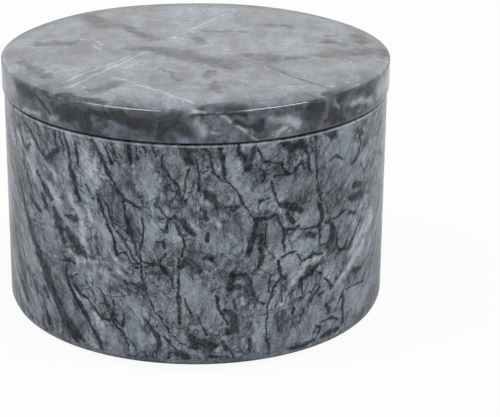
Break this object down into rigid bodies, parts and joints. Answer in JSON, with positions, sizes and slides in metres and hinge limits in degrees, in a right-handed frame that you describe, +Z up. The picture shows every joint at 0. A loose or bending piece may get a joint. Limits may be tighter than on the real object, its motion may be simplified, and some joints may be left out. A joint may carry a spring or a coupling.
{
  "type": "salt cellar",
  "caption": "Round salt cellar turned from dark veined marble: a thick-walled pot with a coved hollow and a plain lift-off disc lid centred by a register under it.",
  "frame": {"origin": "on the surface that the cellar stands on, under the middle of the pot", "axes": "+Z up along the axis that the pot and the lid are turned about; +X to the right and -Y towards the viewer of the picture"},
  "size_m": [0.1016, 0.1016, 0.0698],
  "materials": {
    "pot_marble": "polished, dark blue-grey with dark and pale veins",
    "lid_marble": "polished, dark blue-grey with fine pale veins",
    "pad_rubber": "matt"
  },
  "bodies": {
    "pot_body": {"pot": "pot_marble", "foot_pad_1": "pad_rubber", "foot_pad_2": "pad_rubber", "foot_pad_3": "pad_rubber", "foot_pad_4": "pad_rubber"},
    "lid_body": {"lid": "lid_marble"}
  },
  "joints": [
    {"name": "lid_lift", "type": "slide", "parent": "pot_body", "child": "lid_body", "axis": [0, 0, 1], "range_m": [0, 0.09]}
  ]
}
